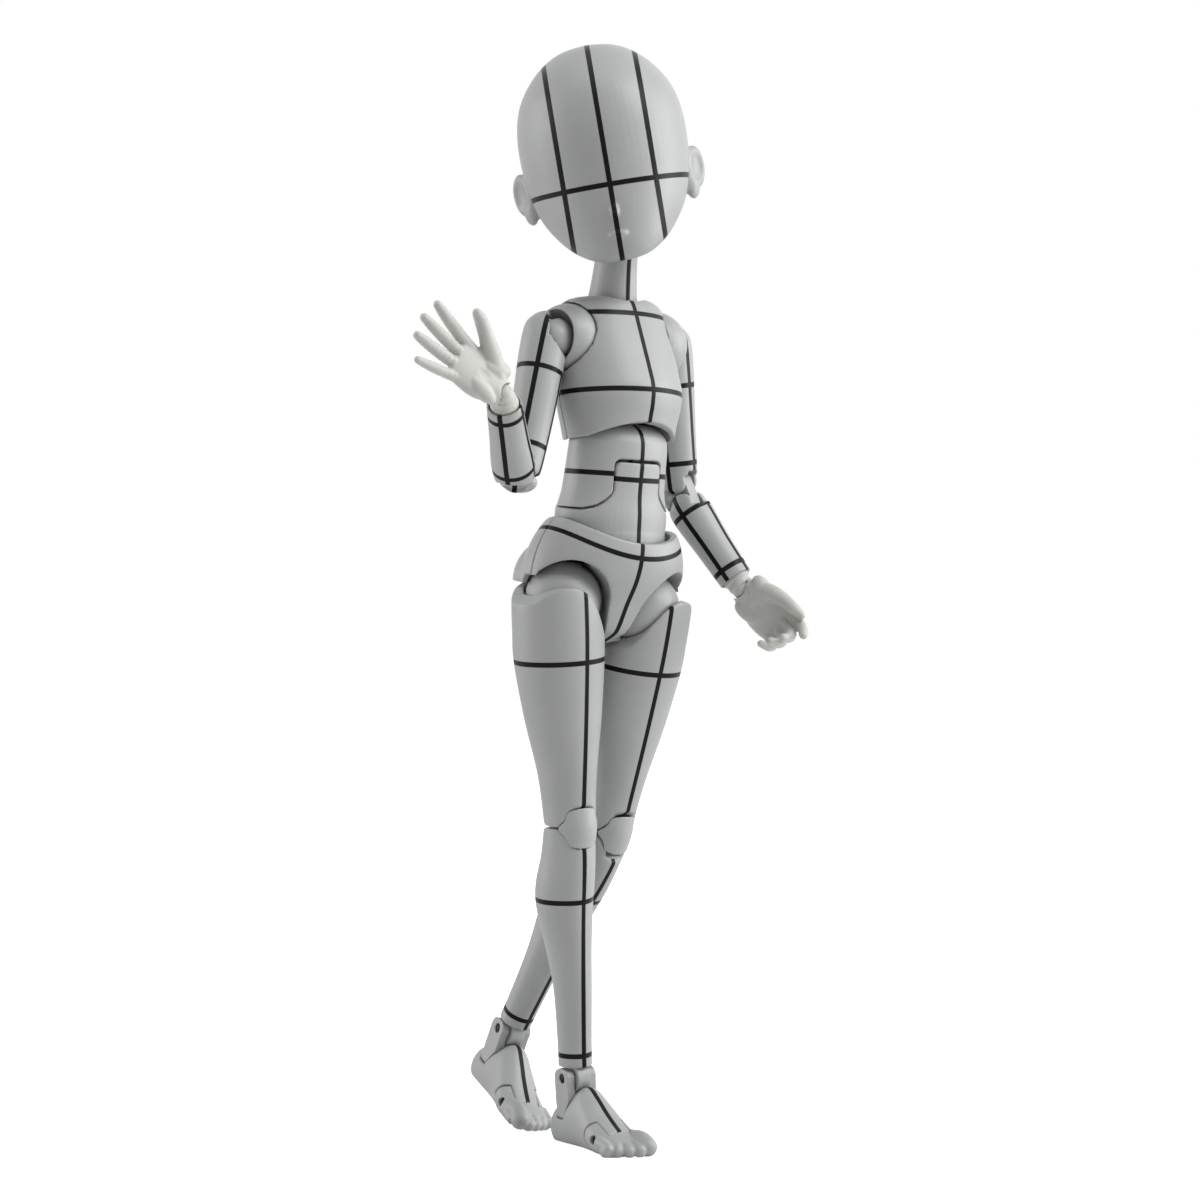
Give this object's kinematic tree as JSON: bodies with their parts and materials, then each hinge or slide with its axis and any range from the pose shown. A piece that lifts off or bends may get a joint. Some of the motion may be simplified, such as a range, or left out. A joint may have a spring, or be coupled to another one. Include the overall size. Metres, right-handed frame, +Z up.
{
  "type": "articulated drawing figure",
  "caption": "Slim posable human figure for drawing practice: plain moulded limb shells on pin, peg and ball joints, blank face, one open hand, walking with a wave.",
  "frame": {"origin": "middle of the right sole, under the foot's roll joint, on the ground", "axes": "+Z up, the figure faces roughly -Y, its own left is +X"},
  "size_m": [0.0542, 0.0433, 0.1334],
  "materials": {
    "body_shells": "satin moulded light grey, printed guide lines",
    "hands_and_feet": "soft matte, slightly paler and warmer",
    "joint_parts": "smooth moulded",
    "steel_pins": "dark pin ends"
  },
  "bodies": {
    "pelvis": {"pelvis_front": "body_shells", "pelvis_back": "body_shells"},
    "waist": {"waist_joint": "joint_parts"},
    "lower_belly": {"lower_abdomen": "body_shells"},
    "upper_belly": {"upper_abdomen": "body_shells"},
    "chest_post": {"chest_joint": "joint_parts"},
    "chest": {"chest_front": "body_shells", "chest_back": "body_shells"},
    "neck_foot": {"neck_base_joint": "joint_parts"},
    "neck_sleeve": {"neck": "body_shells"},
    "head_post": {"head_joint": "joint_parts"},
    "head": {"head_front": "body_shells", "head_back": "body_shells"},
    "left_shoulder": {"left_shoulder_base": "body_shells"},
    "left_shoulder_lug": {"left_shoulder_disc": "body_shells"},
    "left_arm_ball": {"left_shoulder_ball": "body_shells"},
    "left_upper_arm_body": {"left_upper_arm": "body_shells", "left_elbow_upper_pin": "steel_pins"},
    "left_elbow": {"left_elbow_block": "body_shells"},
    "left_forearm_body": {"left_forearm": "body_shells", "left_elbow_lower_pin": "steel_pins"},
    "left_wrist": {"left_wrist_ball": "joint_parts"},
    "left_hand_body": {"left_hand": "hands_and_feet"},
    "right_shoulder": {"right_shoulder_base": "body_shells"},
    "right_shoulder_lug": {"right_shoulder_disc": "body_shells"},
    "right_arm_ball": {"right_shoulder_ball": "body_shells"},
    "right_upper_arm_body": {"right_upper_arm": "body_shells", "right_elbow_upper_pin": "steel_pins"},
    "right_elbow": {"right_elbow_block": "body_shells"},
    "right_forearm_body": {"right_forearm": "body_shells", "right_elbow_lower_pin": "steel_pins"},
    "right_wrist": {"right_wrist_ball": "joint_parts"},
    "right_hand_body": {"right_hand": "hands_and_feet"},
    "left_hip": {"left_hip_joint": "joint_parts"},
    "left_hip_cup": {"left_hip_cover": "body_shells"},
    "left_thigh_body": {"left_thigh": "body_shells", "left_knee_upper_pin": "steel_pins"},
    "left_knee": {"left_kneecap": "body_shells"},
    "left_shin_body": {"left_shin": "body_shells", "left_knee_lower_pin": "steel_pins"},
    "left_ankle": {"left_ankle_lug": "joint_parts"},
    "left_ankle_cheeks": {"left_ankle_fork": "body_shells", "left_ankle_pin": "steel_pins"},
    "left_foot_body": {"left_foot": "hands_and_feet", "left_toe_pin": "steel_pins"},
    "left_toes_body": {"left_toes": "hands_and_feet"},
    "right_hip": {"right_hip_joint": "joint_parts"},
    "right_hip_cup": {"right_hip_cover": "body_shells"},
    "right_thigh_body": {"right_thigh": "body_shells", "right_knee_upper_pin": "steel_pins"},
    "right_knee": {"right_kneecap": "body_shells"},
    "right_shin_body": {"right_shin": "body_shells", "right_knee_lower_pin": "steel_pins"},
    "right_ankle": {"right_ankle_lug": "joint_parts"},
    "right_ankle_cheeks": {"right_ankle_fork": "body_shells", "right_ankle_pin": "steel_pins"},
    "right_foot_body": {"right_foot": "hands_and_feet", "right_toe_pin": "steel_pins"},
    "right_toes_body": {"right_toes": "hands_and_feet"}
  },
  "joints": [
    {"name": "waist_turn", "type": "hinge", "parent": "pelvis", "child": "waist", "pos_m": [0.00224, -0.00334, 0.07366], "axis": [0.1119, -0.071, 0.9912], "range_deg": [-27, 18]},
    {"name": "side_bend", "type": "hinge", "parent": "waist", "child": "lower_belly", "pos_m": [0.00224, -0.00334, 0.07366], "axis": [-0.0585, 0.9952, 0.0779], "range_deg": [-8, 15]},
    {"name": "belly_bend", "type": "hinge", "parent": "lower_belly", "child": "upper_belly", "pos_m": [0.00261, -0.00383, 0.08013], "axis": [0.9967, 0.0626, -0.0518], "range_deg": [-2, 8]},
    {"name": "chest_turn", "type": "hinge", "parent": "upper_belly", "child": "chest_post", "pos_m": [0.00301, -0.00407, 0.08752], "axis": [-0.0539, 0.0328, -0.998], "range_deg": [-9, 9]},
    {"name": "chest_bend", "type": "hinge", "parent": "chest_post", "child": "chest", "pos_m": [0.00301, -0.00407, 0.08752], "axis": [0.9969, 0.0591, -0.0519], "range_deg": [-3, 12]},
    {"name": "neck_bend", "type": "hinge", "parent": "chest", "child": "neck_foot", "pos_m": [0.00358, -0.00171, 0.10113], "axis": [0.9969, 0.0591, -0.0519], "range_deg": [-27, 12]},
    {"name": "neck_tilt", "type": "hinge", "parent": "neck_foot", "child": "neck_sleeve", "pos_m": [0.00378, -0.00225, 0.10448], "axis": [-0.05, 0.9855, 0.1624], "range_deg": [-6, 13]},
    {"name": "head_turn", "type": "hinge", "parent": "neck_sleeve", "child": "head_post", "pos_m": [0.00378, -0.0032, 0.1102], "axis": [-0.0002, -0.1627, 0.9867], "range_deg": [-41, 118]},
    {"name": "head_nod", "type": "hinge", "parent": "head_post", "child": "head", "pos_m": [0.00378, -0.0032, 0.1102], "axis": [0.8107, -0.5777, -0.095], "range_deg": [-16, 27]},
    {"name": "left_shoulder_swing", "type": "hinge", "parent": "chest", "child": "left_shoulder", "pos_m": [0.00999, -0.00174, 0.09711], "axis": [-0.045, -0.1133, -0.9925], "range_deg": [-13, 20]},
    {"name": "left_arm_swing", "type": "hinge", "parent": "left_shoulder", "child": "left_shoulder_lug", "pos_m": [0.0129, -0.0007, 0.09686], "axis": [0.9381, 0.3367, -0.0809], "range_deg": [-173, 17]},
    {"name": "left_arm_raise", "type": "hinge", "parent": "left_shoulder_lug", "child": "left_arm_ball", "pos_m": [0.0129, -0.0007, 0.09686], "axis": [-0.3406, 0.9394, -0.039], "range_deg": [-81, 0.5]},
    {"name": "left_arm_turn", "type": "hinge", "parent": "left_arm_ball", "child": "left_upper_arm_body", "pos_m": [0.0129, -0.0007, 0.09686], "axis": [-0.1043, 0.0035, 0.9945], "range_deg": [-48, 45]},
    {"name": "left_elbow_upper", "type": "hinge", "parent": "left_upper_arm_body", "child": "left_elbow", "pos_m": [0.01473, -0.00103, 0.08056], "axis": [0.9084, 0.4075, 0.0938], "range_deg": [-47, 18]},
    {"name": "left_elbow_lower", "type": "hinge", "parent": "left_elbow", "child": "left_forearm_body", "pos_m": [0.01541, -0.0019, 0.07777], "axis": [0.9084, 0.4075, 0.0938], "range_deg": [-51, 14]},
    {"name": "left_wrist_turn", "type": "hinge", "parent": "left_forearm_body", "child": "left_wrist", "pos_m": [0.01912, -0.00781, 0.06752], "axis": [-0.306, 0.495, 0.8132], "range_deg": [-87, 112]},
    {"name": "left_wrist_bend", "type": "hinge", "parent": "left_wrist", "child": "left_hand_body", "pos_m": [0.01912, -0.00781, 0.06752], "axis": [0.9489, 0.2273, 0.2187], "range_deg": [-23, 56]},
    {"name": "right_shoulder_swing", "type": "hinge", "parent": "chest", "child": "right_shoulder", "pos_m": [-0.00317, -0.00252, 0.0978], "axis": [0.045, 0.1133, 0.9925], "range_deg": [-36, 13]},
    {"name": "right_arm_swing", "type": "hinge", "parent": "right_shoulder", "child": "right_shoulder_lug", "pos_m": [-0.00622, -0.00304, 0.09799], "axis": [0.9841, 0.1659, -0.0635], "range_deg": [-171, 58]},
    {"name": "right_arm_raise", "type": "hinge", "parent": "right_shoulder_lug", "child": "right_arm_ball", "pos_m": [-0.00622, -0.00304, 0.09799], "axis": [-0.1702, 0.9828, -0.071], "range_deg": [-2.5, 76]},
    {"name": "right_arm_turn", "type": "hinge", "parent": "right_arm_ball", "child": "right_upper_arm_body", "pos_m": [-0.00622, -0.00304, 0.09799], "axis": [0.3183, 0.1231, 0.94], "range_deg": [-27, 108]},
    {"name": "right_elbow_upper", "type": "hinge", "parent": "right_upper_arm_body", "child": "right_elbow", "pos_m": [-0.01165, -0.00525, 0.08267], "axis": [0.6422, -0.7573, -0.1183], "range_deg": [-9, 56]},
    {"name": "right_elbow_lower", "type": "hinge", "parent": "right_elbow", "child": "right_forearm_body", "pos_m": [-0.01392, -0.00706, 0.08194], "axis": [0.6422, -0.7573, -0.1183], "range_deg": [-5, 60]},
    {"name": "right_wrist_turn", "type": "hinge", "parent": "right_forearm_body", "child": "right_wrist", "pos_m": [-0.01996, -0.01354, 0.09062], "axis": [0.4726, 0.5127, -0.7168], "range_deg": [-190, 10]},
    {"name": "right_wrist_bend", "type": "hinge", "parent": "right_wrist", "child": "right_hand_body", "pos_m": [-0.01996, -0.01354, 0.09062], "axis": [-0.6035, -0.4044, -0.6872], "range_deg": [-93, 6]},
    {"name": "left_hip_swing", "type": "hinge", "parent": "pelvis", "child": "left_hip", "pos_m": [0.00726, -0.00328, 0.06553], "axis": [0.9937, 0.004, -0.1119], "range_deg": [-2, 23]},
    {"name": "left_hip_spread", "type": "hinge", "parent": "left_hip", "child": "left_hip_cup", "pos_m": [0.00726, -0.00328, 0.06553], "axis": [0.0164, 0.9833, 0.181], "range_deg": [-20, 4.5]},
    {"name": "left_thigh_turn", "type": "hinge", "parent": "left_hip_cup", "child": "left_thigh_body", "pos_m": [0.00726, -0.00328, 0.06553], "axis": [0.0639, -0.1817, 0.9813], "range_deg": [-42, 27]},
    {"name": "left_knee_upper", "type": "hinge", "parent": "left_thigh_body", "child": "left_knee", "pos_m": [0.00557, 0.00187, 0.0404], "axis": [-0.9918, -0.1204, 0.0423], "range_deg": [-62, 5]},
    {"name": "left_knee_lower", "type": "hinge", "parent": "left_knee", "child": "left_shin_body", "pos_m": [0.00526, 0.00303, 0.03638], "axis": [0.9918, 0.1204, -0.0423], "range_deg": [-5.5, 51]},
    {"name": "left_ankle_turn", "type": "hinge", "parent": "left_shin_body", "child": "left_ankle", "pos_m": [0.00238, 0.01801, 0.01171], "axis": [0.1003, -0.5311, 0.8413], "range_deg": [-15, 44]},
    {"name": "left_ankle_bend", "type": "hinge", "parent": "left_ankle", "child": "left_ankle_cheeks", "pos_m": [0.00238, 0.01801, 0.01171], "axis": [0.9797, -0.0948, -0.1767], "range_deg": [-19, 44]},
    {"name": "left_foot_roll", "type": "hinge", "parent": "left_ankle_cheeks", "child": "left_foot_body", "pos_m": [0.00187, 0.01931, 0.00818], "axis": [0.1488, 0.9346, 0.3231], "range_deg": [-17, 12]},
    {"name": "left_toe_bend", "type": "hinge", "parent": "left_foot_body", "child": "left_toes_body", "pos_m": [0.00016, 0.01259, 0.00304], "axis": [0.9716, -0.0774, -0.2235], "range_deg": [-34, 17]},
    {"name": "right_hip_swing", "type": "hinge", "parent": "pelvis", "child": "right_hip", "pos_m": [-0.00446, -0.00333, 0.06685], "axis": [0.9937, 0.004, -0.1119], "range_deg": [-51, 2.5]},
    {"name": "right_hip_spread", "type": "hinge", "parent": "right_hip", "child": "right_hip_cup", "pos_m": [-0.00446, -0.00333, 0.06685], "axis": [-0.0016, -0.9987, -0.0502], "range_deg": [-33, 0.5]},
    {"name": "right_thigh_turn", "type": "hinge", "parent": "right_hip_cup", "child": "right_thigh_body", "pos_m": [-0.00446, -0.00333, 0.06685], "axis": [-0.071, -0.05, 0.9962], "range_deg": [-10, 14]},
    {"name": "right_knee_upper", "type": "hinge", "parent": "right_thigh_body", "child": "right_knee", "pos_m": [-0.00261, -0.00155, 0.04127], "axis": [0.9957, -0.0626, 0.0678], "range_deg": [0, 4.5]},
    {"name": "right_knee_lower", "type": "hinge", "parent": "right_knee", "child": "right_shin_body", "pos_m": [-0.00231, -0.00129, 0.03709], "axis": [0.9957, -0.0626, 0.0678], "range_deg": [0, 5.5]},
    {"name": "right_ankle_turn", "type": "hinge", "parent": "right_shin_body", "child": "right_ankle", "pos_m": [-0.00026, 0.00002, 0.00819], "axis": [-0.0717, -0.0621, 0.9955], "range_deg": [-30, 29]},
    {"name": "right_ankle_bend", "type": "hinge", "parent": "right_ankle", "child": "right_ankle_cheeks", "pos_m": [-0.00026, 0.00002, 0.00819], "axis": [0.9959, -0.0592, 0.068], "range_deg": [-28, 35]},
    {"name": "right_foot_roll", "type": "hinge", "parent": "right_ankle_cheeks", "child": "right_foot_body", "pos_m": [0, 0, 0.0044], "axis": [0.0593, 0.9982, 0], "range_deg": [-18, 11]},
    {"name": "right_toe_bend", "type": "hinge", "parent": "right_foot_body", "child": "right_toes_body", "pos_m": [-0.00049, -0.00819, 0.0017], "axis": [0.9982, -0.0593, 0], "range_deg": [-40, 12]}
  ]
}
